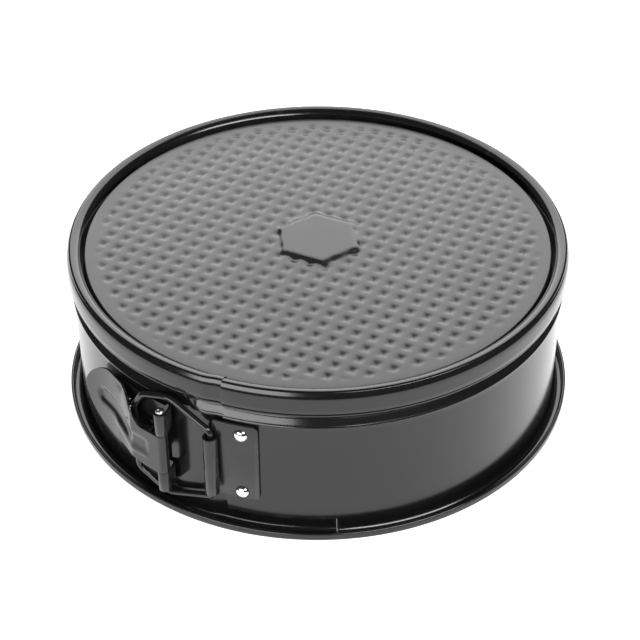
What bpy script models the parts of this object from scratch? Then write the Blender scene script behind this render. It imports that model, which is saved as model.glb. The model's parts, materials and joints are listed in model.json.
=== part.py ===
"""Springform cake pan, stored upside down: mouth rim on the table, base underside on top.

The ring is one sheet-steel band.  Its two halves, one carrying the lever and one carrying
the wire bail, turn about an upright axis behind the pan, which stands in for the spring of
the band.  The base plate sits loose in the groove under the band's curl.

Sizes below are in millimetres and degrees; angles run from +X, and the clasp is near -120.
"""

import math

import bmesh
import bpy
from mathutils import Matrix, Vector

MM = 0.001
GAP = 0.3

# Band: radii are of the middle of its sheet
BAND_SHEET = 0.5
WALL_R = 100.25
BULGE_R = 101.8
NECK_R = 99.0
STRIP_R = 101.1
LIP_R = 97.75
HEM_R = 105.75
HEM_FOLD = 1.0
TOP_Z = 70.6
BULGE_LOW_Z = 61.0
NECK_TOP_Z = 59.6
STRIP_TOP_Z = 57.4
STRIP_LOW_Z = 53.2
STRIP_STEP = 0.7
FLANGE_FILLET = 3.2
RIM_TOP_Z = 3.6
FLANGE_CUT_Z = 6.5
BAND_STEP = 6.0

# Ends of the band, and the inward step that lets one end slide under the other
FLEX_ANGLE = 70.0
OUTER_END = -110.5
INNER_END = -86.0
STEP_START = -115.5
STEP_END = -111.3
STEP_DEPTH = 0.85
END_GAP = 0.17

# Base plate
BASE_SHEET = 0.6
PANEL_R = 95.0
PANEL_Z = 67.2
BASE_RIM_R = 100.05
BASE_RIM_LOW_Z = 61.2
BASE_RIM_TOP_Z = 67.9
BOSS_R = 16.0
BOSS_SLOPE = 1.8
BOSS_HEIGHT = 1.2
BOSS_ANGLE = 35.0

# Clasp
CLASP_SHEET = 0.8
PLATE_R = 101.3
PLATE_CORNER_R = 2.0
BAIL_KNUCKLE_ANGLE = -113.1
BAIL_ROLL_R = 2.2
BAIL_ROLL_TURN = 285.0
BAIL_PLATE_EDGE = -102.8
BAIL_PLATE_Z = (14.9, 51.4)
BAIL_KNUCKLE_Z = (16.6, 44.5)
PIN_ANGLE = -123.5
PIN_R_FROM_AXIS = 107.5
PIN_RADIUS = 1.35
PIN_Z = (13.2, 53.2)
PIN_HEAD_R = 1.7
PIN_HEAD_Z = 51.6
PIN_ROLL_R = 2.05
PIN_EDGE = 0.3
LEVER_KNUCKLE_Z = (22.7, 40.9)
BRACKET_LOW_Z = 13.0
BRACKET_TOP_Z = 49.8
BRACKET_CORNER = 1.5
ARM_TOP_Z = 51.2
BRACKET_LEFT = -140.6
ARM_RISE = 75.0
ARM_BEND_R = 1.6
ARM_ROLL_TURN = 255.0
WIRE_RADIUS = 1.3
WIRE_LEFT = (105.6, -131.5)
WIRE_NEAR_Z = (14.2, 46.8)
WIRE_FAR_Z = (15.8, 46.8)
WIRE_CREST = (17.8, 56.8)
WIRE_SHOULDER = (29.5, 53.5)
WIRE_DIP = (20.5, 7.2)
LEVER_BEND = (109.3, -131.0)
LEVER_TIP = (102.3, -153.0)
LEVER_BEND_R = 4.0
LEVER_BODY_Z = (20.0, 49.0)
LEVER_ROLL_TURN = 262.0
LEVER_SHOULDER = 2.0
EAR_LENGTH = 8.3
EAR_DEPTH = 6.9
EAR_AHEAD = 4.0
EAR_INSET = 1.0
SLOT_R = 2.5
SLOT_TRAVEL = 5.3
RIVET_SHANK_R = 1.5
RIVET_HEAD_R = 2.75
RIVET_HEAD_HEIGHT = 1.3
RIVET_HOLE_REACH = (97.0, 103.0)
BAIL_RIVETS = {"bail_rivet_top": (-106.6, 46.6), "bail_rivet_bottom": (-106.6, 17.9)}
LEVER_RIVETS = {"lever_rivet_top": (-136.4, 41.0), "lever_rivet_bottom": (-136.4, 24.0)}

# Bends are cut into flats of about this many degrees, tight ones and wide ones
TIGHT_STEP = 24.0
WIDE_STEP = 3.0
WIDE_BEND_R = 20.0

COLLECTION = "springform_pan"
CUTTERS = "cutters"


def polar(radius, angle, z=0.0):
    """Point at a radius (mm) and angle (degrees) about the pan's axis, in metres."""
    turn = math.radians(angle)
    return Vector((radius * math.cos(turn), radius * math.sin(turn), z)) * MM


def arc(centre, radius, start, end, steps):
    """Points along an arc, as (u, v) pairs."""
    angles = [math.radians(start + (end - start) * i / steps) for i in range(steps + 1)]
    return [(centre[0] + radius * math.cos(a), centre[1] + radius * math.sin(a)) for a in angles]


def unit(heading):
    """Flat unit vector at a heading in degrees."""
    return Vector((math.cos(math.radians(heading)), math.sin(math.radians(heading))))


def heading_of(way):
    return math.degrees(math.atan2(way.y, way.x))


def smooth_step(value, low, high):
    part = min(1.0, max(0.0, (value - low) / (high - low)))
    return part * part * (3.0 - 2.0 * part)


def clear_scene():
    for item in list(bpy.data.objects):
        bpy.data.objects.remove(item, do_unlink=True)


def make_collection(name):
    collection = bpy.data.collections.new(name)
    bpy.context.scene.collection.children.link(collection)
    return collection


def make_material(name, colour, roughness, metallic):
    material = bpy.data.materials.new(name)
    material.use_nodes = True
    shader = material.node_tree.nodes["Principled BSDF"]
    shader.inputs["Base Color"].default_value = (*colour, 1.0)
    shader.inputs["Roughness"].default_value = roughness
    shader.inputs["Metallic"].default_value = metallic
    return material


def coating(name, shade=0.035, roughness=0.35):
    """Dark non-stick coating on steel."""
    return make_material(name + "_coating", (shade, shade, shade * 1.03), roughness, 0.3)


def bright_steel(name):
    return make_material(name + "_steel", (0.75, 0.75, 0.76), 0.2, 1.0)


def add_object(name, mesh, material, collection=COLLECTION):
    mesh.name = name
    thing = bpy.data.objects.new(name, mesh)
    bpy.data.collections[collection].objects.link(thing)
    mesh.materials.clear()
    if material:
        mesh.materials.append(material)
    mesh.shade_smooth()
    mesh.set_sharp_from_angle(angle=math.radians(35.0))
    return thing


def mesh_from(bm, name):
    mesh = bpy.data.meshes.new(name)
    bmesh.ops.recalc_face_normals(bm, faces=bm.faces)
    bm.to_mesh(mesh)
    bm.free()
    return mesh


def thicken(thing, sheet):
    """Give an open surface its sheet thickness, half to each side."""
    solid = thing.modifiers.new("sheet", "SOLIDIFY")
    solid.thickness = sheet * MM
    solid.offset = 0.0
    solid.use_even_offset = True


def combine(thing, other, operation):
    boolean = thing.modifiers.new(other.name, "BOOLEAN")
    boolean.solver = "EXACT"
    boolean.operation = operation
    boolean.object = other


def as_tool(thing):
    """Keep an object only as a helper of a Boolean modifier."""
    thing.hide_render = True
    thing.display_type = "WIRE"
    return thing


def turned(profile, steps):
    """Mesh of a (radius, z) profile in mm turned all the way round the Z axis."""
    bm = bmesh.new()
    verts = [bm.verts.new((r * MM, 0.0, z * MM)) for r, z in profile]
    edges = [bm.edges.new(pair) for pair in zip(verts, verts[1:])]
    bmesh.ops.spin(bm, geom=verts + edges, cent=(0, 0, 0), axis=(0, 0, 1),
                   angle=math.tau, steps=steps)
    bmesh.ops.remove_doubles(bm, verts=bm.verts, dist=1e-6)
    return mesh_from(bm, "turned")


def swept_profile(profile, angles):
    """Surface made by carrying a (radius, z) profile round the pan's axis through the angles."""
    bm = bmesh.new()
    verts = [bm.verts.new(polar(r, angles[0], z)) for r, z in profile]
    edges = [bm.edges.new(pair) for pair in zip(verts, verts[1:])]
    for before, after in zip(angles, angles[1:]):
        made = bmesh.ops.extrude_edge_only(bm, edges=edges)["geom"]
        edges = [item for item in made if isinstance(item, bmesh.types.BMEdge)]
        moved = [item for item in made if isinstance(item, bmesh.types.BMVert)]
        turn = Matrix.Rotation(math.radians(after - before), 3, "Z")
        bmesh.ops.rotate(bm, cent=(0, 0, 0), matrix=turn, verts=moved)
        edges = [edge for edge in edges if all(vert in moved for vert in edge.verts)]
    return bm


def stations(start, end, extra=()):
    """Angles from start to end: both ends, every whole band step between, and the extras."""
    first = math.floor(start / BAND_STEP) + 1
    last = math.ceil(end / BAND_STEP)
    whole = [BAND_STEP * i for i in range(first, last)]
    clear = [a for a in whole if all(abs(a - e) > 1.0 for e in (start, end, *extra))]
    return sorted([start, end, *clear, *extra])


def band_profile():
    """Middle of the band's sheet from the curl's lip down to the folded hem."""
    half = BAND_SHEET / 2
    top = TOP_Z - half
    flange = half
    points = [(LIP_R, top - 1.75)]
    points += arc((LIP_R + 0.9, top - 0.9), 0.9, 180, 90, 3)
    points += arc((BULGE_R - 1.6, top - 1.6), 1.6, 90, 0, 4)
    points += [(BULGE_R, BULGE_LOW_Z), (NECK_R, NECK_TOP_Z), (NECK_R, STRIP_TOP_Z)]
    points += [(STRIP_R, STRIP_LOW_Z), (WALL_R, STRIP_LOW_Z - STRIP_STEP), (WALL_R, FLANGE_CUT_Z)]
    points += arc((WALL_R + FLANGE_FILLET, flange + FLANGE_FILLET), FLANGE_FILLET, 180, 270, 3)
    points += arc((HEM_R - 0.8, flange + 0.8), 0.8, 270, 360, 3)
    points += arc((HEM_R - HEM_FOLD / 2, RIM_TOP_Z - half - HEM_FOLD / 2), HEM_FOLD / 2, 0, 180, 3)
    points += [(HEM_R - HEM_FOLD, RIM_TOP_Z - 1.9)]
    return points


def delete_faces(bm, unwanted):
    doomed = [face for face in bm.faces if unwanted(face.calc_center_median() / MM)]
    bmesh.ops.delete(bm, geom=doomed, context="FACES")


def angle_of(point):
    """Angle about the pan's axis, from -180 to 180."""
    return math.degrees(math.atan2(point.y, point.x))


def lever_half_surface():
    """Half of the band that ends in the stepped tongue under the other half."""
    start = FLEX_ANGLE + END_GAP
    steps = (STEP_START, -114.1, -112.7, STEP_END, OUTER_END - 2 * END_GAP)
    end = 360.0 + INNER_END - END_GAP
    bm = swept_profile(band_profile(), stations(start, end, [360.0 + a for a in steps]))
    for vert in bm.verts:
        angle = angle_of(vert.co)
        if not STEP_START < angle < 0.0:
            continue
        radius = vert.co.xy.length / MM
        inward = STEP_DEPTH * smooth_step(angle, STEP_START, STEP_END)
        inward *= 1.0 - smooth_step(radius, BULGE_R + 0.2, WALL_R + FLANGE_FILLET)
        factor = (radius - inward) / radius
        vert.co.x *= factor
        vert.co.y *= factor
    top_end = OUTER_END - 2 * END_GAP
    delete_faces(bm, lambda c: c.z > STRIP_TOP_Z and top_end < angle_of(c) < INNER_END)
    return bm


def bail_half_surface():
    """Half of the band whose wall laps over the tongue."""
    end = 360.0 + FLEX_ANGLE - END_GAP
    bm = swept_profile(band_profile(), stations(360.0 + OUTER_END, end, [360.0 + INNER_END]))
    delete_faces(bm, lambda c: c.z < FLANGE_CUT_Z and OUTER_END < angle_of(c) < INNER_END)
    return bm


def radial_cylinder(name, angle, z, inner_r, outer_r, radius):
    """Rod lying along a radius of the pan, for rivet holes."""
    bm = bmesh.new()
    bmesh.ops.create_cone(bm, cap_ends=True, segments=16, radius1=radius * MM,
                          radius2=radius * MM, depth=(outer_r - inner_r) * MM)
    lay = Matrix.Rotation(math.radians(90.0), 4, "Y")
    turn = Matrix.Rotation(math.radians(angle), 4, "Z")
    place = Matrix.Translation(polar((inner_r + outer_r) / 2, angle, z))
    bmesh.ops.transform(bm, matrix=place @ turn @ lay, verts=bm.verts)
    return as_tool(add_object(name, mesh_from(bm, name), None, CUTTERS))


def rivet(name, angle, z):
    """Domed rivet: head outside the clasp plate, shank set flush inside the band."""
    head_base = PLATE_R + CLASP_SHEET / 2 + GAP / 3
    shank_end = WALL_R - BAND_SHEET / 2
    dome = arc((0, 0), 1.0, 90, 0, 5)[1:]
    profile = [(0.0, head_base + RIVET_HEAD_HEIGHT)]
    profile += [(RIVET_HEAD_R * x, head_base + RIVET_HEAD_HEIGHT * y) for x, y in dome]
    profile += [(RIVET_SHANK_R, head_base), (RIVET_SHANK_R, shank_end), (0.0, shank_end)]
    piece = add_object(name, turned(profile, 16), bright_steel(name))
    piece.location.z = z * MM
    piece.rotation_euler = (0.0, math.radians(90.0), math.radians(angle))


def fold_line(start, heading, moves):
    """Stations (s, x, y) in mm along a bent sheet seen from above.

    A move (size, turn) is a bend of radius size through turn degrees, or, where turn is 0,
    a flat of length size.
    """
    x, y = start
    run = 0.0
    line = [(run, x, y)]
    for size, turn in moves:
        steps = max(1, math.ceil(abs(turn) / (TIGHT_STEP if size < WIDE_BEND_R else WIDE_STEP)))
        bend = math.radians(turn) / steps
        chord = 2.0 * size * math.sin(abs(bend) / 2.0) if turn else size
        for _ in range(steps):
            heading += math.degrees(bend) / 2.0
            x += chord * math.cos(math.radians(heading))
            y += chord * math.sin(math.radians(heading))
            heading += math.degrees(bend) / 2.0
            run += chord
            line.append((run, x, y))
    return line


def on_line(line, s):
    """Point of a fold line at the distance s along it."""
    for (s0, x0, y0), (s1, x1, y1) in zip(line, line[1:]):
        if s <= s1 + 1e-6:
            part = (s - s0) / (s1 - s0)
            return x0 + (x1 - x0) * part, y0 + (y1 - y0) * part
    return line[-1][1:]


def bent_sheet(name, outline, line):
    """Sheet cut to an (s, z) outline and bent along a fold line, before its thickness."""
    bm = bmesh.new()
    bm.faces.new([bm.verts.new((s, 0.0, z)) for s, z in outline])
    for s, _, _ in line[1:-1]:
        whole = bm.verts[:] + bm.edges[:] + bm.faces[:]
        bmesh.ops.bisect_plane(bm, geom=whole, dist=1e-5, plane_co=(s, 0, 0), plane_no=(1, 0, 0))
    for vert in bm.verts:
        x, y = on_line(line, vert.co.x)
        vert.co = Vector((x, y, vert.co.z)) * MM
    thing = add_object(name, mesh_from(bm, name), coating(name))
    thicken(thing, CLASP_SHEET)
    return thing


def bail_bracket():
    """Riveted plate whose left edge is rolled round the wire bail."""
    heading = BAIL_KNUCKLE_ANGLE + 90.0 + BAIL_ROLL_TURN
    knuckle = polar(PLATE_R + BAIL_ROLL_R, BAIL_KNUCKLE_ANGLE).xy / MM
    start = knuckle + BAIL_ROLL_R * unit(heading + 90.0)
    moves = [(BAIL_ROLL_R, -BAIL_ROLL_TURN), (PLATE_R, BAIL_PLATE_EDGE - BAIL_KNUCKLE_ANGLE)]
    line = fold_line(start, heading, moves)
    roll = BAIL_ROLL_R * math.radians(BAIL_ROLL_TURN)
    edge = line[-1][0]
    plate = edge - PLATE_R * math.radians(BAIL_PLATE_EDGE - OUTER_END)
    low, high = BAIL_KNUCKLE_Z
    bottom, top = BAIL_PLATE_Z
    corner = PLATE_CORNER_R
    outline = [(0.0, low), (roll, low), (plate, bottom)]
    outline += arc((edge - corner, bottom + corner), corner, -90, 0, 3)
    outline += arc((edge - corner, top - corner), corner, 0, 90, 3)
    outline += [(plate, top), (roll, high), (0.0, high)]
    return bent_sheet("bail_bracket", outline, line)


def lever_bracket():
    """Riveted plate with an upper and a lower arm rolled round the hinge pin."""
    rise = math.radians(ARM_RISE)
    climb = PIN_R_FROM_AXIS - PLATE_R - ARM_BEND_R * (1 - math.cos(rise))
    flat = (climb - PIN_ROLL_R * math.cos(rise)) / math.sin(rise)
    ahead = (ARM_BEND_R - PIN_ROLL_R) * math.sin(rise) + flat * math.cos(rise)
    plate_end = PIN_ANGLE - math.degrees(math.atan(ahead / PIN_R_FROM_AXIS))
    begin = polar(PLATE_R, BRACKET_LEFT) / MM
    moves = [(PLATE_R, plate_end - BRACKET_LEFT), (ARM_BEND_R, -ARM_RISE), (flat, 0.0),
             (PIN_ROLL_R, -ARM_ROLL_TURN)]
    line = fold_line(begin.xy, BRACKET_LEFT + 90.0, moves)
    corner = BRACKET_CORNER
    plate = PLATE_R * math.radians(plate_end - BRACKET_LEFT) - corner
    tip = line[-1][0]
    low, high = LEVER_KNUCKLE_Z
    outline = [(0.0, BRACKET_LOW_Z + corner), (corner, BRACKET_LOW_Z), (tip, BRACKET_LOW_Z)]
    outline += [(tip, low - GAP), (plate, low - GAP), (plate, high + GAP), (tip, high + GAP)]
    outline += [(tip, ARM_TOP_Z), (plate + corner, ARM_TOP_Z), (plate, BRACKET_TOP_Z)]
    outline += [(corner, BRACKET_TOP_Z), (0.0, BRACKET_TOP_Z - corner)]
    return bent_sheet("lever_bracket", outline, line)


def lever():
    """Stamped lever: rolled round the pin, with a narrow neck, a bend and a round-ended body."""
    pin = polar(PIN_R_FROM_AXIS, PIN_ANGLE).xy / MM
    bend = polar(*LEVER_BEND).xy / MM
    body_way = polar(*LEVER_TIP).xy / MM - bend
    off_pin = math.degrees(math.asin(PIN_ROLL_R / (bend - pin).length))
    neck_heading = heading_of(bend - pin) - off_pin
    heading = neck_heading + LEVER_ROLL_TURN
    start = pin + PIN_ROLL_R * unit(heading + 90.0)
    neck = math.sqrt((bend - pin).length_squared - PIN_ROLL_R**2) - 1.0
    body = body_way.length - 1.0
    moves = [(PIN_ROLL_R, -LEVER_ROLL_TURN), (neck, 0.0),
             (LEVER_BEND_R, heading_of(body_way) - neck_heading), (body, 0.0)]
    line = fold_line(start, heading, moves)
    length = line[-1][0]
    shoulder = length - body - 1.0
    low, high = LEVER_BODY_Z
    neck_low, neck_high = LEVER_KNUCKLE_Z
    round_r = (high - low) / 2
    flare = shoulder - LEVER_SHOULDER
    outline = [(0.0, neck_low), (flare, neck_low), (shoulder, low)]
    outline += arc((length - round_r, low + round_r), round_r, -90, 90, 10)
    outline += [(shoulder, high), (flare, neck_high), (0.0, neck_high)]
    thing = bent_sheet("lever", outline, line)
    neck_way = unit(neck_heading)
    for ear_z in (neck_low + EAR_INSET, neck_high - EAR_INSET):
        combine(thing, lever_ear(ear_z, bend, neck_way, body_way.normalized()), "UNION")
    return thing


def lever_ear(z, bend, neck_way, body_way):
    """Flat ear on the band side of the lever's neck, slotted for the wire's far run."""
    inward = Vector((neck_way.y, -neck_way.x))
    near = bend - neck_way * EAR_LENGTH
    far = bend + neck_way * EAR_AHEAD + inward * EAR_DEPTH
    outer = [near, bend, bend + body_way * EAR_AHEAD, far, near + inward * EAR_DEPTH]
    wire = polar(*WIRE_LEFT).xy / MM
    slot = slot_points(wire, wire - neck_way * SLOT_TRAVEL, SLOT_R)
    curve = bpy.data.curves.new("lever_ear", "CURVE")
    curve.dimensions = "2D"
    curve.fill_mode = "BOTH"
    curve.extrude = CLASP_SHEET / 2 * MM
    for ring in (outer, slot):
        spline = curve.splines.new("POLY")
        spline.points.add(len(ring) - 1)
        for point, place in zip(spline.points, ring):
            point.co = (place[0] * MM, place[1] * MM, 0.0, 1.0)
        spline.use_cyclic_u = True
    guide = bpy.data.objects.new("lever_ear_outline", curve)
    guide.location.z = z * MM
    bpy.data.collections[CUTTERS].objects.link(guide)
    return mesh_of_curve(guide, "lever_ear", None, CUTTERS)


def slot_points(start, end, radius):
    """Outline of a round-ended slot."""
    side = heading_of(end - start)
    return arc(start, radius, side + 90, side + 270, 8) + arc(end, radius, side - 90, side + 90, 8)


def mesh_of_curve(guide, name, material, collection=COLLECTION):
    """Turn a curve object into a closed mesh object in the same place."""
    bpy.context.view_layer.update()
    evaluated = guide.evaluated_get(bpy.context.evaluated_depsgraph_get())
    mesh = bpy.data.meshes.new_from_object(evaluated)
    place = guide.matrix_world.copy()
    bpy.data.objects.remove(guide, do_unlink=True)
    bm = bmesh.new()
    bm.from_mesh(mesh)
    bmesh.ops.remove_doubles(bm, verts=bm.verts, dist=1e-6)
    bmesh.ops.recalc_face_normals(bm, faces=bm.faces)
    bm.to_mesh(mesh)
    bm.free()
    thing = add_object(name, mesh, material, collection)
    thing.matrix_world = place
    if collection == CUTTERS:
        as_tool(thing)
    return thing


def rounded_loop(corners, steps=4):
    """Closed line through (s, z, radius) corners, each rounded to its own radius."""
    points = []
    count = len(corners)
    for i, (s, z, radius) in enumerate(corners):
        here = Vector((s, z))
        before = (Vector(corners[i - 1][:2]) - here).normalized()
        after = (Vector(corners[(i + 1) % count][:2]) - here).normalized()
        half = before.angle(after) / 2.0
        reach = radius / math.tan(half)
        middle = here + (before + after).normalized() * radius / math.sin(half)
        first = here + before * reach - middle
        last = here + after * reach - middle
        for step in range(steps + 1):
            part = first.lerp(last, step / steps)
            points.append(middle + part.normalized() * radius)
    return points


def bail_wire():
    """Closed wire loop from the rolled knuckle, past both sides of the lever, to its ears."""
    near = polar(PLATE_R + BAIL_ROLL_R, BAIL_KNUCKLE_ANGLE)
    far = polar(*WIRE_LEFT)
    way = (far - near) / MM
    reach = way.length
    near_low, near_high = WIRE_NEAR_Z
    far_low, far_high = WIRE_FAR_Z
    corners = [(0.0, near_low, 3.0), (0.0, near_high, 3.0), (*WIRE_CREST, 5.0),
               (*WIRE_SHOULDER, 3.0), (reach, far_high, 3.0), (reach, far_low, 4.0),
               (*WIRE_DIP, 7.0)]
    curve = bpy.data.curves.new("bail_wire", "CURVE")
    curve.dimensions = "3D"
    curve.bevel_depth = WIRE_RADIUS * MM
    curve.bevel_resolution = 2
    path = rounded_loop(corners)
    spline = curve.splines.new("POLY")
    spline.points.add(len(path) - 1)
    for point, place in zip(spline.points, path):
        spot = near + way.normalized() * place.x * MM
        point.co = (spot.x, spot.y, place.y * MM, 1.0)
    spline.use_cyclic_u = True
    guide = bpy.data.objects.new("bail_wire_line", curve)
    bpy.data.collections[COLLECTION].objects.link(guide)
    return mesh_of_curve(guide, "bail_wire", coating("bail_wire", 0.045, 0.25))


def hinge_pin():
    """Steel pin with a low head above the bracket's upper arm."""
    low, high = PIN_Z
    edge = PIN_EDGE
    profile = [(0.0, high), (PIN_HEAD_R - edge, high), (PIN_HEAD_R, high - edge)]
    profile += [(PIN_HEAD_R, PIN_HEAD_Z), (PIN_RADIUS, PIN_HEAD_Z), (PIN_RADIUS, low + edge)]
    profile += [(PIN_RADIUS - edge, low), (0.0, low)]
    pin = add_object("hinge_pin", turned(profile, 20), bright_steel("hinge_pin"))
    pin.location = polar(PIN_R_FROM_AXIS, PIN_ANGLE)


def base_plate():
    """Round base with a step down to an upright rim, and a six-sided boss in its middle."""
    half = BASE_SHEET / 2
    panel = PANEL_Z - half
    skirt = PANEL_R - half
    rim = BASE_RIM_R - half
    floor = BASE_RIM_LOW_Z + half
    profile = [(0.0, panel), (PANEL_R / 2, panel)]
    profile += arc((skirt - 1.3, panel - 1.3), 1.3, 90, 0, 3)
    profile += arc((skirt + 0.9, floor + 0.9), 0.9, 180, 270, 2)
    profile += arc((rim - 0.9, floor + 0.9), 0.9, 270, 360, 2)
    profile += [(rim, BASE_RIM_TOP_Z - half)]
    base = add_object("base_plate", turned(profile, 60), coating("base_plate", 0.09, 0.5))
    thicken(base, BASE_SHEET)
    boss_bm = bmesh.new()
    sunk = BASE_SHEET / 2
    bmesh.ops.create_cone(boss_bm, cap_ends=True, segments=6, radius1=(BOSS_R + BOSS_SLOPE) * MM,
                          radius2=BOSS_R * MM, depth=(BOSS_HEIGHT + sunk) * MM)
    boss = add_object("boss", mesh_from(boss_bm, "boss"), None, CUTTERS)
    boss.location.z = (PANEL_Z - sunk + (BOSS_HEIGHT + sunk) / 2) * MM
    boss.rotation_euler.z = math.radians(BOSS_ANGLE + 30.0)
    combine(base, as_tool(boss), "UNION")
    return base


def cut_rivet_holes(thing, rivets):
    """Clearance holes in a band half or a plate, one for each rivet."""
    for name, (angle, z) in rivets.items():
        hole = radial_cylinder(f"{thing.name}_{name}_hole", angle, z, *RIVET_HOLE_REACH,
                               RIVET_SHANK_R + GAP)
        combine(thing, hole, "DIFFERENCE")


def band_half(name, surface):
    half = add_object(name, mesh_from(surface, name), coating(name))
    thicken(half, BAND_SHEET)
    return half


def main():
    clear_scene()
    make_collection(COLLECTION)
    make_collection(CUTTERS)
    riveted = ((band_half("band_lever_half", lever_half_surface()), LEVER_RIVETS),
               (band_half("band_bail_half", bail_half_surface()), BAIL_RIVETS),
               (lever_bracket(), LEVER_RIVETS), (bail_bracket(), BAIL_RIVETS))
    for sheet, rivets in riveted:
        cut_rivet_holes(sheet, rivets)
    for name, (angle, z) in (*LEVER_RIVETS.items(), *BAIL_RIVETS.items()):
        rivet(name, angle, z)
    base_plate()
    hinge_pin()
    lever()
    bail_wire()


main()
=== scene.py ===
"""Looks of the springform cake pan: fine meshes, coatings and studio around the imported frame.

The pan stands upside down: mouth rim on the floor, underside of the base on top.  Shapes are
worked out in millimetres and degrees (angles run from +X, the clasp is near -120) and take
their places from the frame's nodes and joints.
"""

import json
import math

import bmesh
import bpy
import numpy as np
from mathutils import Matrix, Vector


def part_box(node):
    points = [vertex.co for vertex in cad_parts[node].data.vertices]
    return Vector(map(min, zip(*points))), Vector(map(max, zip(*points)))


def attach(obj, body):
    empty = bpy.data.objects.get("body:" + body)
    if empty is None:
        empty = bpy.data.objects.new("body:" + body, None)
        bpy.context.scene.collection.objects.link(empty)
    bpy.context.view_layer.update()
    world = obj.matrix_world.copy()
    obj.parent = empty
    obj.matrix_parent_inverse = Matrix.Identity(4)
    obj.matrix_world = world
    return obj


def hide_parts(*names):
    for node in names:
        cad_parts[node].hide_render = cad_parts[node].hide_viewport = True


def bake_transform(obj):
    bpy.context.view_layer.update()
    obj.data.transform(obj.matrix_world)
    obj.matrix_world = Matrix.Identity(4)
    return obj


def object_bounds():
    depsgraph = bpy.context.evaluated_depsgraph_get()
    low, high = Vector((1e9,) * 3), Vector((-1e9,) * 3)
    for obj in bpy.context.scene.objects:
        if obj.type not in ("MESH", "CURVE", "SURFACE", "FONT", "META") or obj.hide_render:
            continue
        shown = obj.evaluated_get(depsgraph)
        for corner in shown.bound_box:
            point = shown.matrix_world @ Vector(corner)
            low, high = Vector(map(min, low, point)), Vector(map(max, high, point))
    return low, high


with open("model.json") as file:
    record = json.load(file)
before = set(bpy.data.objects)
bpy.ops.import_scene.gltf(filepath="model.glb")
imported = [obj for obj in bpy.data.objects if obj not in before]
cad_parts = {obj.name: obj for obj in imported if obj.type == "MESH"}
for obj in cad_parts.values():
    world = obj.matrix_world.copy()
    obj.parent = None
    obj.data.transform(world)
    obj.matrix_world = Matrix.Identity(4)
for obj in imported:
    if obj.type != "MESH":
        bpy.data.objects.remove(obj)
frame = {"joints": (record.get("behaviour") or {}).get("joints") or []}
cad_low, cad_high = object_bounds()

MM = 0.001
WHITE = (1.0, 1.0, 1.0, 1.0)
BLACK = (0.0, 0.0, 0.0, 1.0)


# ---------------------------------------------------------------- places from the frame

def joint_point(name):
    """Point of a joint's axis in plan, in mm."""
    found = next(j for j in frame["joints"] if j["name"] == name)
    return Vector(found["pos_m"][:2]) / MM


def node_box(name):
    """Corners of a CAD node's box, in mm."""
    low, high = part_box(name)
    return low / MM, high / MM


def heading_of(way):
    """Angle of a direction in plan, in degrees."""
    return math.degrees(math.atan2(way.y, way.x))


OUTER_R = cad_high.x / MM
TOP_Z = cad_high.z / MM
PIN = joint_point("lever_swing")
KNUCKLE = joint_point("bail_swing")
FLEX_ANGLE = heading_of(joint_point("band_open"))

# Band: radii are of the middle of its sheet, from the curled edge down to the hemmed rim
BAND_SHEET = 0.5
WALL_R = OUTER_R - 5.75
CREST_R = WALL_R - 0.05
CURL_R = 3.7
CURL_LIP_ANGLE = 151.0
BULGE_R = WALL_R + 1.75
BULGE_LOW_Z = TOP_Z - 9.6
STRIP_TOP_Z = TOP_Z - 13.6
STRIP_LOW_Z = TOP_Z - 17.4
NECK_R = WALL_R - 1.45
STRIP_R = WALL_R + 0.85
FLANGE_FILLET = 3.2
FLANGE_CUT_Z = 6.5
HEM_R = OUTER_R - BAND_SHEET / 2
RIM_TOP_Z = 3.6

# Band's ends: the lever's half steps inward and runs on under the other half
OUTER_END = -110.5
INNER_END = -86.0
END_GAP = 0.03
STEP_START = -115.5
STEP_END = -111.3
STEP_DEPTH = 0.85
STRIP_GAP_ANGLE = -118.6
STRIP_GAP_WIDTH = 1.5
BACK_SPAN = 30.0
BAND_STEP = 1.0
STEP_MESH = 0.4

# Base plate
BASE_SHEET = 0.6
BASE_LOW, BASE_HIGH = node_box("base_plate")
BOSS_R = 16.0
BOSS_HEIGHT = 1.2
BOSS_ANGLE = 35.0
BOSS_SLOPE = 1.5
BOSS_SPREAD = 1.8
PANEL_Z = BASE_HIGH.z - BOSS_HEIGHT
PANEL_R = BASE_HIGH.x - 4.6
BASE_RIM_TOP_Z = PANEL_Z + 0.7
DIMPLE_PITCH = 6.94
DIMPLE_HEADING = 66.25
DIMPLE_START = (4.3, 3.2)
DIMPLE_HALF = 2.75
DIMPLE_DEPTH = 0.85
DIMPLE_SQUARENESS = 5
DIMPLE_SOFTNESS = 0.25
DIMPLE_CUTS = (-2.85, -2.25, -1.55, -0.8, 0.0, 0.8, 1.55, 2.25, 2.85)
FIELD_R = 88.0
FIELD_EDGE = 91.0

# Clasp: its places in plan are (radius, angle)
CLASP_SHEET = 0.8
PLATE_R = WALL_R + 1.05
BAIL_ROLL_R = 2.45
BAIL_ROLL_Z = (16.6, 44.5)
BAIL_PLATE_END = -102.8
PIN_ROLL_R = 2.05
LEVER_PLATE_START = -140.6
LEVER_ARM_TURN = 75.0
LEVER_BEND = (109.3, -131.0)
LEVER_TIP = (102.3, -153.0)
LEVER_NECK_Z = (22.7, 40.9)
LEVER_REACH = 35.8
LEVER_MIDDLE_Z = 37.0
LEVER_HALF = 13.1
LEVER_STRETCH = 1.13
LEVER_BLUNT = 1.2
WIRE_RADIUS = 1.3
WIRE_FAR_RUN = (105.6, -131.5)
EAR_SLOT_R = 2.5
EAR_SLOT_LENGTH = 5.3
RIVET_CROWN = 1.45
RIVET_SHANK_R = 1.5

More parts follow.
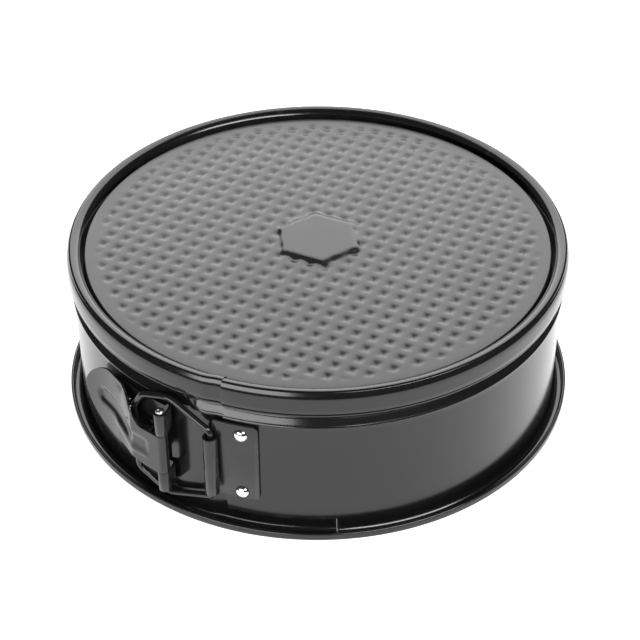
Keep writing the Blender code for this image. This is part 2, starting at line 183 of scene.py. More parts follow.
# Lever's pressing: the body's flare and lean, the channel along it and the dent at its edge
FLARE_RUN = 30.0
FLARE_DIP = 3.8
FLARE_RISE = 5.6
LEAN_SLOPE = 1.45 / 13.0
CHANNEL_Z = 33.0
CHANNEL_CLIMB = 3.4
CHANNEL_LENGTH = 24.5
CHANNEL_FLOOR = 1.6
CHANNEL_EDGE = 4.4
DENT_PLACE = (11.5, 48.3)

# Studio
CARD_HOLE_R = 345.0
CARD_SHIFT_Y = 60.0
CAMERA_ELEVATION = 34.963
CAMERA_ROLL = -0.188
CAMERA_DISTANCE = 711.9
CAMERA_DROP = 1.7
CAMERA_AIM = (0.00108, -0.04813)
CAMERA_LENS = 97.91


# ---------------------------------------------------------------- small geometry helpers

def polar(radius, angle, z=0.0):
    """Point at a radius and an angle about the pan's axis."""
    turn = math.radians(angle)
    return Vector((radius * math.cos(turn), radius * math.sin(turn), z))


def unit(heading):
    """Direction in plan at a heading, of length 1."""
    return polar(1.0, heading).xy


def arc(centre, radius, start, end, steps):
    """Points along an arc, as (u, v) pairs; radius may be a pair for an ellipse."""
    wide, tall = radius if isinstance(radius, tuple) else (radius, radius)
    angles = [math.radians(start + (end - start) * i / steps) for i in range(steps + 1)]
    return [(centre[0] + wide * math.cos(a), centre[1] + tall * math.sin(a)) for a in angles]


def smooth_step(value, low, high):
    """0 up to low, 1 from high on, and a smooth rise between."""
    part = min(1.0, max(0.0, (value - low) / (high - low)))
    return part * part * (3.0 - 2.0 * part)


def bell(value, middle, width):
    """1 at the middle, falling smoothly to 0 within about two widths."""
    return math.exp(-((value - middle) / width) ** 2)


def even_steps(start, end, step):
    """Evenly spaced values from start to end, about a step apart."""
    count = max(1, round(abs(end - start) / step))
    return [start + (end - start) * i / count for i in range(count + 1)]


def mesh_from(bm, name):
    """Mesh in metres from a bmesh in millimetres, with its faces pointing out."""
    bmesh.ops.scale(bm, vec=(MM, MM, MM), verts=bm.verts)
    bmesh.ops.recalc_face_normals(bm, faces=bm.faces)
    mesh = bpy.data.meshes.new(name)
    bm.to_mesh(mesh)
    bm.free()
    return mesh


def add_object(name, mesh):
    thing = bpy.data.objects.new(name, mesh)
    bpy.context.scene.collection.objects.link(thing)
    return thing


def thicken(thing, sheet, even=True):
    """Give a sheet's middle surface its thickness."""
    solid = thing.modifiers.new("sheet", "SOLIDIFY")
    solid.thickness = sheet * MM
    solid.offset = 0.0
    solid.use_even_offset = even


def round_edges(thing, width):
    bevel = thing.modifiers.new("edges", "BEVEL")
    bevel.width = width * MM
    bevel.segments = 2
    bevel.limit_method = "ANGLE"
    bevel.angle_limit = math.radians(50.0)


def settle(thing, sharp_angle=40.0):
    """Turn the evaluated shape into the object's own mesh and shade it smooth."""
    bpy.context.view_layer.update()
    evaluated = thing.evaluated_get(bpy.context.evaluated_depsgraph_get())
    mesh = bpy.data.meshes.new_from_object(evaluated)
    thing.modifiers.clear()
    thing.data = mesh
    mesh.name = thing.name
    mesh.shade_smooth()
    mesh.set_sharp_from_angle(angle=math.radians(sharp_angle))
    return thing


def finish_piece(thing, material, nodes=()):
    """Material of a piece, and the CAD nodes that it stands for, which are hidden."""
    thing.data.materials.clear()
    thing.data.materials.append(material)
    if nodes:
        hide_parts(*nodes)
    return thing


def swept(profile, angles):
    """Surface made by carrying a (radius, z) profile round the pan's axis through the angles."""
    bm = bmesh.new()
    rows = [[bm.verts.new(polar(r, angle, z)) for r, z in profile] for angle in angles]
    for before, after in zip(rows, rows[1:]):
        for i in range(len(profile) - 1):
            bm.faces.new((before[i], after[i], after[i + 1], before[i + 1]))
    return bm


def turned(profile, steps):
    """Closed surface of revolution of a (radius, z) profile about the Z axis."""
    bm = swept(profile, [360.0 * i / steps for i in range(steps + 1)])
    bmesh.ops.remove_doubles(bm, verts=bm.verts, dist=1e-4)
    return bm


# ---------------------------------------------------------------- materials

class Nodes:
    """A material's node tree with short ways to add and link nodes."""

    def __init__(self, name):
        self.material = bpy.data.materials.new(name)
        self.material.use_nodes = True
        self.tree = self.material.node_tree
        self.shader = self.tree.nodes["Principled BSDF"]
        self.place = self.tree.nodes.new("ShaderNodeTexCoord").outputs["Object"]

    def noise(self, scale, detail=2.0, roughness=0.5, stretch=None):
        node = self.tree.nodes.new("ShaderNodeTexNoise")
        node.inputs["Scale"].default_value = scale
        node.inputs["Detail"].default_value = detail
        node.inputs["Roughness"].default_value = roughness
        source = self.place
        if stretch:
            mapping = self.tree.nodes.new("ShaderNodeMapping")
            mapping.inputs["Scale"].default_value = stretch
            self.tree.links.new(source, mapping.inputs["Vector"])
            source = mapping.outputs["Vector"]
        self.tree.links.new(source, node.inputs["Vector"])
        return node.outputs["Fac"]

    def map_range(self, value, low, high, to_low, to_high):
        node = self.tree.nodes.new("ShaderNodeMapRange")
        self.tree.links.new(value, node.inputs["Value"])
        ends = (("From Min", low), ("From Max", high), ("To Min", to_low), ("To Max", to_high))
        for name, number in ends:
            node.inputs[name].default_value = number
        return node.outputs["Result"]

    def mix_colour(self, factor, first, second):
        node = self.tree.nodes.new("ShaderNodeMix")
        node.data_type = "RGBA"
        self.tree.links.new(factor, node.inputs["Factor"])
        for socket, colour in (("A", first), ("B", second)):
            target = next(s for s in node.inputs if s.name == socket and s.type == "RGBA")
            if isinstance(colour, tuple):
                target.default_value = (*colour, 1.0)
            else:
                self.tree.links.new(colour, target)
        return next(s for s in node.outputs if s.type == "RGBA")

    def math(self, operation, first, second):
        node = self.tree.nodes.new("ShaderNodeMath")
        node.operation = operation
        for socket, value in zip(node.inputs, (first, second)):
            if isinstance(value, (int, float)):
                socket.default_value = value
            else:
                self.tree.links.new(value, socket)
        return node.outputs["Value"]

    def edge_wear_and_highlight(self):
        """1 on convex edges, 0 elsewhere."""
        geometry = self.tree.nodes.new("ShaderNodeNewGeometry")
        return self.map_range(geometry.outputs["Pointiness"], 0.52, 0.62, 0.0, 1.0)

    def bump(self, height, distance, normal=None):
        node = self.tree.nodes.new("ShaderNodeBump")
        node.inputs["Strength"].default_value = 1.0
        node.inputs["Distance"].default_value = distance * MM
        self.tree.links.new(height, node.inputs["Height"])
        if normal:
            self.tree.links.new(normal, node.inputs["Normal"])
        return node.outputs["Normal"]

    def to_shader(self, **sockets):
        for name, value in sockets.items():
            socket = self.shader.inputs[name.replace("_", " ")]
            if isinstance(value, (int, float)):
                socket.default_value = value
            else:
                self.tree.links.new(value, socket)
        return self.material


def coating(name, shade, roughness, peel, worn_and_highlight_grey):
    """Baked non-stick coating: near black, faintly mottled, with a fine orange peel.

    shade is the darkest grey, peel the height of the orange peel in mm, and the last argument the
    grey laid on convex edges: partly where the coating thins, partly a painted highlight standing
    in for the gloss along the edges.
    """
    n = Nodes(name)
    grain = n.noise(1400.0, detail=3.0)
    cloud = n.noise(28.0, detail=3.0, roughness=0.6)
    pale = shade * 1.7
    body = n.mix_colour(cloud, (shade, shade, shade * 1.03), (pale, shade * 1.68, pale))
    # Convex edges lighten towards the last argument's grey: partly coating worn thin, partly a
    # painted highlight along the edges.
    wear_and_highlight = n.math("MULTIPLY", n.edge_wear_and_highlight(), n.map_range(n.noise(220.0), 0.35, 0.65, 0.1, 0.7))
    colour = n.mix_colour(wear_and_highlight, body, (worn_and_highlight_grey, worn_and_highlight_grey * 0.98, worn_and_highlight_grey * 0.95))
    mottled = n.map_range(cloud, 0.3, 0.7, roughness * 0.9, roughness * 1.12)
    speckled = n.math("ADD", mottled, n.map_range(grain, 0.3, 0.7, -0.015, 0.015))
    wavy = n.bump(n.noise(120.0, detail=1.0), peel * 1.5)
    return n.to_shader(Base_Color=colour, Roughness=speckled, IOR=1.5,
                       Normal=n.bump(grain, peel, wavy))


def bright_steel(name):
    """Tumbled steel of rivets and pin: bright, with fine scratches and a few dull spots."""
    n = Nodes(name)
    scratches = n.noise(900.0, detail=4.0, roughness=0.7, stretch=(1.0, 1.0, 6.0))
    spots = n.noise(500.0, detail=2.0)
    colour = n.mix_colour(spots, (0.55, 0.54, 0.53), (0.7, 0.7, 0.69))
    dull = n.map_range(scratches, 0.35, 0.7, 0.07, 0.18)
    return n.to_shader(Base_Color=colour, Roughness=dull, Metallic=1.0,
                       Normal=n.bump(scratches, 0.004))


RING_COAT = coating("ring_coating", 0.004, 0.17, 0.0018, 0.03)
BASE_COAT = coating("base_coating", 0.008, 0.3, 0.005, 0.03)
CLASP_COAT = coating("clasp_coating", 0.006, 0.22, 0.003, 0.04)
WIRE_COAT = coating("wire_coating", 0.005, 0.15, 0.0015, 0.04)
STEEL = bright_steel("bright_steel")


# ---------------------------------------------------------------- ring band

def curl():
    """Middle of the curled top edge, from its lip over the crest to the top of the bulge.

    A fine crease runs round it just outside the crest.
    """
    crest_z = TOP_Z - BAND_SHEET / 2
    crease = ((0.15, 0.0), (0.3, 0.06), (0.43, 0.13), (0.56, 0.16), (0.68, 0.22), (0.79, 0.36))
    shoulder = ((0.98, 0.55), (0.68, 0.95), (0.42, 1.5), (0.21, 2.2), (0.08, 3.0), (0.02, 3.8),
                (0.0, 4.6))
    points = arc((CREST_R, crest_z - CURL_R), CURL_R, CURL_LIP_ANGLE, 92, 16)
    points += [(CREST_R + out, crest_z - drop) for out, drop in crease]
    points += [(BULGE_R - back, crest_z - drop) for back, drop in shoulder]
    return points


def band_profile():
    """Middle of the band's sheet, from the curl's lip down to the folded hem."""
    half = BAND_SHEET / 2
    groove = ((0.15, 0.1), (0.6, 0.4), (0.85, 0.7), (0.78, 1.0), (0.65, 1.3), (0.65, 1.6),
              (0.8, 1.9), (1.15, 2.2), (1.8, 2.6), (2.45, 3.1))
    points = curl()
    points += [(BULGE_R, BULGE_LOW_Z + 2.0), (BULGE_R, BULGE_LOW_Z + 0.2)]
    points += [(BULGE_R - back, BULGE_LOW_Z - drop) for back, drop in groove]
    points += [(NECK_R + 0.12, STRIP_TOP_Z + 0.45), (NECK_R, STRIP_TOP_Z + 0.15),
               (NECK_R + 0.05, STRIP_TOP_Z - 0.2)]
    slope = (STRIP_R - NECK_R) / (STRIP_LOW_Z - STRIP_TOP_Z)
    points += [(NECK_R + slope * (z - STRIP_TOP_Z), z)
               for z in even_steps(STRIP_TOP_Z - 0.5, STRIP_LOW_Z + 0.5, 0.6)]
    points += arc((STRIP_R - 0.45, STRIP_LOW_Z + 0.1), 0.42, 20, -70, 4)
    points += [(WALL_R + 0.12, STRIP_LOW_Z - 0.62), (WALL_R, STRIP_LOW_Z - 1.1)]
    points += [(WALL_R, z) for z in even_steps(STRIP_LOW_Z - 3.0, FLANGE_CUT_Z + 2.0, 3.0)]
    points += [(WALL_R, FLANGE_CUT_Z)]
    points += arc((WALL_R + FLANGE_FILLET, half + FLANGE_FILLET), FLANGE_FILLET, 180, 270, 10)
    points += arc((HEM_R - 0.8, half + 0.8), 0.8, 270, 360, 6)
    points += arc((HEM_R - 0.5, RIM_TOP_Z - half - 0.5), 0.5, 0, 180, 10)
    points += [(HEM_R - 1.05, RIM_TOP_Z - 1.6), (HEM_R - 1.35, RIM_TOP_Z - 2.1)]
    return points


def strip_relief(angle):
    """Share of the neck's relief left at an angle: it flattens just before the tongue."""
    return 1.0 - bell(angle, STRIP_GAP_ANGLE, STRIP_GAP_WIDTH)


def shape_lever_half(bm):
    """Step the end of the lever's half inward, so that it slides under the other half."""
    for vert in bm.verts:
        angle = math.degrees(math.atan2(vert.co.y, vert.co.x))
        if not STEP_START - 9.5 < angle < 0.0:
            continue
        radius = vert.co.xy.length
        target = radius
        if STRIP_LOW_Z - 1.5 < vert.co.z < BULGE_LOW_Z - 0.5:
            target = WALL_R + (radius - WALL_R) * strip_relief(angle)
        inward = STEP_DEPTH * smooth_step(angle, STEP_START, STEP_END)
        inward *= 1.0 - smooth_step(radius, BULGE_R + 0.2, WALL_R + FLANGE_FILLET)
        factor = (target - inward) / radius
        vert.co.x *= factor
        vert.co.y *= factor


def drop_faces(bm, unwanted):
    """Delete the faces whose middle, given as (angle, z), is unwanted."""
    doomed = []
    for face in bm.faces:
        middle = face.calc_center_median()
        if unwanted(math.degrees(math.atan2(middle.y, middle.x)), middle.z):
            doomed.append(face)
    bmesh.ops.delete(bm, geom=doomed, context="FACES")


def band_piece(name, bm):
    """One length of the band, as thick as its sheet."""
    thing = add_object(name, mesh_from(bm, name))
    thicken(thing, BAND_SHEET)
    return settle(thing)


def ring_band():
    """The band in three lengths: one on each half and one behind between them, which stays in
    place.
    """
    profile = band_profile()
    ends = (FLEX_ANGLE + BACK_SPAN, FLEX_ANGLE - BACK_SPAN)
    top_end = OUTER_END - 2 * END_GAP
    left = swept(profile, even_steps(ends[0], 360.0 + STEP_START - 4.0, BAND_STEP)
                 + even_steps(360.0 + STEP_START - 3.5, 360.0 + top_end, STEP_MESH)
                 + even_steps(360.0 + OUTER_END, 360.0 + INNER_END - END_GAP, BAND_STEP))
    shape_lever_half(left)
    drop_faces(left, lambda angle, z: z > STRIP_TOP_Z and top_end < angle < INNER_END)
    left = band_piece("band_lever_side", left)
    finish_piece(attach(left, "lever_side"), RING_COAT, ["band_lever_half"])

    right = swept(profile, even_steps(OUTER_END, INNER_END, BAND_STEP)
                  + even_steps(INNER_END + BAND_STEP, ends[1], BAND_STEP))
    drop_faces(right, lambda angle, z: z < FLANGE_CUT_Z and OUTER_END < angle < INNER_END)
    right = band_piece("band_bail_side", right)
    finish_piece(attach(right, "bail_side"), RING_COAT, ["band_bail_half"])

    back = band_piece("band_back", swept(profile, even_steps(*ends, BAND_STEP)))
    finish_piece(back, RING_COAT)
    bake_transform(back)


# ---------------------------------------------------------------- base plate

def boss_rise(x, y):
    """Share of the boss's height at a point, 1 on its six-sided top.

    The side that faces the clasp is the steepest, and the one behind it the widest.
    """
    apothem = BOSS_R * math.cos(math.radians(30.0))
    gentle = unit(BOSS_ANGLE + 30.0)
    rise = 1.0
    for turn in range(6):
        side = unit(BOSS_ANGLE + 30.0 + 60.0 * turn)
        slope = BOSS_SLOPE + BOSS_SPREAD * (1.0 + side.dot(gentle))
        rise = min(rise, 1.0 - smooth_step(x * side.x + y * side.y - apothem, -0.15, slope))
    return rise


def dimple(u, v):
    """Share of a dimple's depth at lattice offsets u and v from its middle."""
    power = DIMPLE_SQUARENESS
    across = (abs(u) ** power + abs(v) ** power) ** (1.0 / power)
    inside = max(0.0, 1.0 - across / DIMPLE_HALF)
    return (1.0 + DIMPLE_SOFTNESS) * inside * inside / (inside + DIMPLE_SOFTNESS)


def panel_height(x, y, u, v):
    """Height of the panel's middle at a place x, y with lattice offsets u and v."""
    radius = math.hypot(x, y)
    rise = boss_rise(x, y)
    field = 1.0 - smooth_step(radius, FIELD_R, FIELD_EDGE)
    sunk = DIMPLE_DEPTH * dimple(u, v) * field * (1.0 - smooth_step(rise, 0.3, 0.95))
    return PANEL_Z - BASE_SHEET / 2 + BOSS_HEIGHT * rise - sunk


def dimpled_panel(bm, edge_r):
    """Square lattice of dimples on a round panel, out to the edge radius."""
    count = math.ceil(edge_r / DIMPLE_PITCH)
    first, second = ([(cell * DIMPLE_PITCH + start + cut, cut)
                      for cell in range(-count, count) for cut in DIMPLE_CUTS]
                     for start in DIMPLE_START)
    along, across = unit(DIMPLE_HEADING), unit(DIMPLE_HEADING + 90.0)
    grid = {}
    for i, (p, u) in enumerate(first):
        for j, (q, v) in enumerate(second):
            x, y = along * p + across * q
            if math.hypot(x, y) < edge_r:
                grid[i, j] = bm.verts.new((x, y, panel_height(x, y, u, v)))
    for (i, j) in grid:
        corners = [grid.get(key) for key in ((i, j), (i + 1, j), (i + 1, j + 1), (i, j + 1))]
        if all(corners):
            bm.faces.new(corners)
    loose = [vert for vert in bm.verts if not vert.link_faces]
    bmesh.ops.delete(bm, geom=loose, context="VERTS")


def base_plate():
    """Pressed base: dimpled panel, boss, step down to a channel and an upright rim."""
    half = BASE_SHEET / 2
    panel = PANEL_Z - half
    skirt = PANEL_R - half
    rim = BASE_HIGH.x - half
    floor = BASE_LOW.z + half
    bm = bmesh.new()
    dimpled_panel(bm, FIELD_EDGE + 0.6)
    inner = [edge for edge in bm.edges if edge.is_boundary]
    profile = [(FIELD_EDGE + 1.2, panel)] + arc((skirt - 0.7, panel - 0.7), 0.7, 90, 0, 6)
    profile += arc((skirt + 0.9, floor + 0.9), 0.9, 180, 270, 5)
    profile += arc((rim - 0.9, floor + 0.9), 0.9, 270, 360, 5)
    profile += [(rim, BASE_RIM_TOP_Z - half)]
    outer = turned(profile, 240)
    outer_mesh = bpy.data.meshes.new("base_rim")
    outer.to_mesh(outer_mesh)
    outer.free()
    known = set(bm.edges)
    bm.from_mesh(outer_mesh)
    near = [edge for edge in bm.edges if edge not in known and edge.is_boundary
            and edge.verts[0].co.xy.length < FIELD_EDGE + 1.5]
    bmesh.ops.triangle_fill(bm, edges=inner + near, use_beauty=True, normal=(0, 0, 1))
    bpy.data.meshes.remove(outer_mesh)
    plate = add_object("dimpled_base", mesh_from(bm, "dimpled_base"))
    thicken(plate, BASE_SHEET, even=False)
    settle(plate, 60.0)
    finish_piece(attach(plate, "base"), BASE_COAT, ["base_plate"])


# ---------------------------------------------------------------- clasp sheets

def fold_line(start, heading, moves):
    """Stations (s, x, y) along a bent sheet seen from above.

    A move (size, turn) is a bend of radius size through turn degrees, or, where turn is 0,
    a flat of length size.
    """
    x, y = start
    run = 0.0
    line = [(run, x, y)]
    for size, turn in moves:
        steps = max(1, math.ceil(abs(turn) / (8.0 if size < 20.0 else 1.0)))
        bend = math.radians(turn) / steps
        chord = 2.0 * size * math.sin(abs(bend) / 2.0) if turn else size
        for _ in range(steps):
            heading += math.degrees(bend) / 2.0
            x += chord * math.cos(math.radians(heading))
            y += chord * math.sin(math.radians(heading))
            heading += math.degrees(bend) / 2.0
            run += chord
            line.append((run, x, y))
    return line


class FoldedPlace:
    """Place and outward side of a sheet at a distance along its fold line."""

    def __init__(self, line):
        self.s, self.x, self.y = np.array(line).T
        way = np.stack([np.gradient(self.x, self.s), np.gradient(self.y, self.s)])
        self.way = way / np.linalg.norm(way, axis=0)

    def __call__(self, s, out):
        dx, dy = (np.interp(s, self.s, part) for part in self.way)
        size = math.hypot(dx, dy)
        x = np.interp(s, self.s, self.x) + out * dy / size
        y = np.interp(s, self.s, self.y) - out * dx / size
        return x, y


def bent_sheet(name, outline, line, relief=None, mesh_step=None):
    """Sheet cut to an (s, z) outline, pressed by relief(s, z) and bent along a fold line."""
    bm = bmesh.new()
    bm.faces.new([bm.verts.new((s, 0.0, z)) for s, z in outline])
    cuts = [((s, 0, 0), (1, 0, 0)) for s, _, _ in line[1:-1]]
    if mesh_step:
        low, high = min(z for _, z in outline), max(z for _, z in outline)
        start, end = line[0][0], line[-1][0]
        cuts += [((s, 0, 0), (1, 0, 0)) for s in even_steps(start, end, mesh_step)[1:-1]]
        cuts += [((0, 0, z), (0, 0, 1)) for z in even_steps(low, high, mesh_step)[1:-1]]
    for point, normal in cuts:
        whole = bm.verts[:] + bm.edges[:] + bm.faces[:]
        bmesh.ops.bisect_plane(bm, geom=whole, dist=1e-3, plane_co=point, plane_no=normal)
    place = FoldedPlace(line)
    for vert in bm.verts:
        s, z = vert.co.x, vert.co.z
        vert.co.x, vert.co.y = place(s, relief(s, z) if relief else 0.0)
    thing = add_object(name, mesh_from(bm, name))
    thicken(thing, CLASP_SHEET)
    round_edges(thing, 0.16)
    return settle(thing)


def bail_plate():
    """Riveted plate whose left edge is rolled round the wire bail."""
    low, high = node_box("bail_bracket")
    knuckle_angle = heading_of(KNUCKLE)
    knuckle_low, knuckle_high = BAIL_ROLL_Z
    roll_turn = 290.0
    heading = knuckle_angle + 90.0 + roll_turn
    centre = polar(PLATE_R + BAIL_ROLL_R, knuckle_angle).xy
    start = centre + BAIL_ROLL_R * unit(heading + 90.0)
    moves = [(BAIL_ROLL_R, -roll_turn), (PLATE_R, BAIL_PLATE_END - knuckle_angle)]
    line = fold_line(start, heading, moves)
    roll = BAIL_ROLL_R * math.radians(roll_turn)
    edge = line[-1][0]
    plate = edge - PLATE_R * math.radians(BAIL_PLATE_END - OUTER_END)
    bottom, top = low.z, high.z
    outline = [(0.0, knuckle_low), (roll, knuckle_low)]
    outline += arc((roll + 0.8, bottom + 0.8), 0.8, 180, 270, 4)[1:] + [(plate, bottom)]
    outline += arc((edge - 2.0, bottom + 2.0), 2.0, -90, 0, 8)
    outline += arc((edge - 2.0, top - 2.0), 2.0, 0, 90, 8)
    outline += [(plate, top)] + arc((roll + 1.6, top - 1.6), 1.6, 90, 180, 4)
    outline += [(roll, knuckle_high), (0.0, knuckle_high)]
    thing = bent_sheet("bail_plate", outline, line)
    finish_piece(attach(thing, "bail_side"), CLASP_COAT, ["bail_bracket"])


def lever_plate():
    """Riveted plate with an upper and a lower arm rolled round the hinge pin."""
    rise = math.radians(LEVER_ARM_TURN)
    bend_r = 1.6
    climb = PIN.length - PLATE_R - bend_r * (1 - math.cos(rise))
    flat = (climb - PIN_ROLL_R * math.cos(rise)) / math.sin(rise)
    ahead = (bend_r - PIN_ROLL_R) * math.sin(rise) + flat * math.cos(rise)
    plate_end = heading_of(PIN) - math.degrees(math.atan(ahead / PIN.length))
    span = plate_end - LEVER_PLATE_START
    moves = [(PLATE_R, span), (bend_r, -LEVER_ARM_TURN), (flat, 0.0), (PIN_ROLL_R, -262.0)]
    line = fold_line(polar(PLATE_R, LEVER_PLATE_START).xy, LEVER_PLATE_START + 90.0, moves)
    plate = PLATE_R * math.radians(span) - 1.5
    tip = line[-1][0]
    bottom, arm_top = (corner.z for corner in node_box("lever_bracket"))
    top = arm_top - 1.4
    low, high = LEVER_NECK_Z[0] - 0.3, LEVER_NECK_Z[1] + 0.3
    outline = arc((2.0, bottom + 2.0), 2.0, 180, 270, 6) + [(tip, bottom), (tip, low)]
    outline += arc((plate + 1.0, low - 1.0), 1.0, 90, 180, 4)[:-1] + [(plate, high)]
    outline += [(tip, high), (tip, arm_top), (plate + 1.5, arm_top), (plate, top)]
    outline += arc((2.0, top - 2.0), 2.0, 90, 180, 6)
    thing = bent_sheet("lever_plate", outline, line)
    finish_piece(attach(thing, "lever_side"), CLASP_COAT, ["lever_bracket"])


def lever_relief(shoulder):
    """How far the lever stands out of its fold line, as a function of place along it and z.

    The body flares out towards its free end and leans out at its lower edge.  A channel with
    a round end is pressed in along it, and a small dent near its upper edge.
    """
    def relief(s, z):
        along = s - shoulder
        part = max(0.0, along) / FLARE_RUN
        flare = FLARE_RISE * part * part - FLARE_DIP * part
        lean = LEAN_SLOPE * min(1.0, max(0.0, along) / 12.0) * (LEVER_MIDDLE_Z - z)
        middle = CHANNEL_Z + CHANNEL_CLIMB * smooth_step(along, -2.0, 18.0)
        off = math.hypot(max(0.0, along - CHANNEL_LENGTH), z - middle)
        start = smooth_step(along, -9.0, -6.5)
        depth = 0.55 + 0.5 * smooth_step(along, 0.0, 6.0)
        channel = -depth * start * (1.0 - smooth_step(off, CHANNEL_FLOOR, CHANNEL_EDGE))
        crest = 0.35 * start * bell(z, middle - 4.9, 0.9) * (1.0 - smooth_step(along, 12.0, 18.0))
        dent = -0.6 * bell(along, DENT_PLACE[0], 3.2) * bell(z, DENT_PLACE[1], 1.5)
        return -(flare + lean + channel + crest + dent)
    return relief


def rounded_end(reach, middle, half):
    """Blunt round end of a strip, from its lower to its upper edge, as (s, z) points."""
    points = []
    for step in range(33):
        turn = math.radians(-90.0 + 180.0 * step / 32)
        over, side = (abs(f(turn)) ** LEVER_BLUNT for f in (math.cos, math.sin))
        points.append((reach - half * LEVER_STRETCH * (1.0 - over),
                       middle + math.copysign(half * side, turn)))
    return points


def lever_arm():
    """Stamped lever: rolled round the pin, with a narrow neck, a bend and a round-ended body."""
    bend = polar(*LEVER_BEND).xy
    body_way = polar(*LEVER_TIP).xy - bend
    off_pin = math.degrees(math.asin(PIN_ROLL_R / (bend - PIN).length))
    neck_heading = heading_of(bend - PIN) - off_pin
    roll_turn = 270.0
    heading = neck_heading + roll_turn
    start = PIN + PIN_ROLL_R * unit(heading + 90.0)
    neck = math.sqrt((bend - PIN).length_squared - PIN_ROLL_R**2) - 1.0
    body = LEVER_REACH - 1.0
    moves = [(PIN_ROLL_R, -roll_turn), (neck, 0.0), (4.0, heading_of(body_way) - neck_heading),
             (body, 0.0)]
    line = fold_line(start, heading, moves)
    length = line[-1][0]
    shoulder = length - body - 1.0
    neck_low, neck_high = LEVER_NECK_Z
    low, high = LEVER_MIDDLE_Z - LEVER_HALF, LEVER_MIDDLE_Z + LEVER_HALF
    outline = [(0.0, neck_low), (shoulder - 6.0, neck_low), (shoulder, low)]
    outline += rounded_end(length, LEVER_MIDDLE_Z, LEVER_HALF)
    outline += [(shoulder + 8.0, high), (shoulder + 4.6, high - 0.9), (shoulder + 1.6, high - 2.4),
                (shoulder - 0.8, high - 4.6), (shoulder - 2.2, neck_high + 2.4),
                (shoulder - 3.4, neck_high + 0.8), (shoulder - 5.4, neck_high), (0.0, neck_high)]
    thing = bent_sheet("lever_arm", outline, line, lever_relief(shoulder), 0.7)
    finish_piece(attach(thing, "lever"), CLASP_COAT, ["lever"])
    for side, z in (("low", neck_low + 1.0), ("high", neck_high - 1.0)):
        ear = lever_ear("lever_ear_" + side, z, bend, unit(neck_heading), body_way.normalized())
        finish_piece(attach(ear, "lever"), CLASP_COAT)


def lever_ear(name, z, bend, neck_way, body_way):
    """Flat ear on the band side of the lever's neck, slotted for the wire's far run."""
    inward = Vector((neck_way.y, -neck_way.x))
    near = bend - neck_way * 8.3
    far = bend + neck_way * 4.0 + inward * 6.9
    outer = [near, bend, bend + body_way * 4.0, far, near + inward * 6.9]
    wire = polar(*WIRE_FAR_RUN).xy
    end = wire - neck_way * EAR_SLOT_LENGTH
    side = heading_of(end - wire)
    slot = arc(wire, EAR_SLOT_R, side + 90, side + 270, 14)
    slot += arc(end, EAR_SLOT_R, side - 90, side + 90, 14)
    curve = bpy.data.curves.new(name, "CURVE")
    curve.dimensions = "2D"
    curve.fill_mode = "BOTH"
    edge = 0.1
    curve.extrude = (CLASP_SHEET / 2 - edge) * MM
    curve.bevel_depth = edge * MM
    curve.offset = -edge * MM
    for ring in (outer, slot):
        add_ring(curve, [(place[0], place[1], 0.0) for place in ring])
    ear = mesh_of_curve(name, curve)
    ear.data.transform(Matrix.Translation((0.0, 0.0, z * MM)))
    return ear


def add_ring(curve, points):
    """Closed line through points in mm."""
    spline = curve.splines.new("POLY")
    spline.points.add(len(points) - 1)
    for point, place in zip(spline.points, points):
        point.co = (place[0] * MM, place[1] * MM, place[2] * MM, 1.0)
    spline.use_cyclic_u = True


def mesh_of_curve(name, curve):
    """Mesh object of a curve, with its caps welded."""
    guide = add_object(name + "_line", curve)
    bpy.context.view_layer.update()
    depsgraph = bpy.context.evaluated_depsgraph_get()
    mesh = bpy.data.meshes.new_from_object(guide.evaluated_get(depsgraph))
    bpy.data.objects.remove(guide, do_unlink=True)
    bm = bmesh.new()
    bm.from_mesh(mesh)
    bmesh.ops.remove_doubles(bm, verts=bm.verts, dist=1e-6)
    bmesh.ops.recalc_face_normals(bm, faces=bm.faces)
    bm.to_mesh(mesh)
    bm.free()
    return settle(add_object(name, mesh))


# ---------------------------------------------------------------- wire, pin and rivets

def rounded_loop(corners, steps):
    """Closed line through (s, z, radius) corners, each rounded to its own radius."""
    points = []
    count = len(corners)
    for i, (s, z, radius) in enumerate(corners):
        here = Vector((s, z))
        before = (Vector(corners[i - 1][:2]) - here).normalized()
        after = (Vector(corners[(i + 1) % count][:2]) - here).normalized()
        half = before.angle(after) / 2.0
        reach = radius / math.tan(half)
        middle = here + (before + after).normalized() * radius / math.sin(half)
        first = here + before * reach - middle
        last = here + after * reach - middle
        for step in range(steps + 1):
            part = first.lerp(last, step / steps)
            points.append(middle + part.normalized() * radius)
    return points


def wire_loop():
    """Closed wire bail from its knuckle, past both sides of the lever, to the lever's ears.

    Its corners are (distance from the knuckle, z, radius).
    """
    near = Vector((*KNUCKLE, 0.0))
    way = polar(*WIRE_FAR_RUN) - near
    reach = way.length
    corners = [(0.0, 14.2, 3.0), (0.0, 46.8, 3.0), (17.8, 56.8, 8.0), (29.5, 53.5, 6.0),
               (reach, 46.8, 6.0), (reach, 15.8, 4.0), (20.5, 7.2, 7.0)]
    curve = bpy.data.curves.new("wire_loop", "CURVE")
    curve.dimensions = "3D"
    curve.bevel_depth = WIRE_RADIUS * MM
    curve.bevel_resolution = 6
    spots = [(near + way.normalized() * place.x, place.y) for place in rounded_loop(corners, 10)]
    add_ring(curve, [(spot.x, spot.y, z) for spot, z in spots])
    wire = mesh_of_curve("wire_loop", curve)
    finish_piece(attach(wire, "bail"), WIRE_COAT, ["bail_wire"])


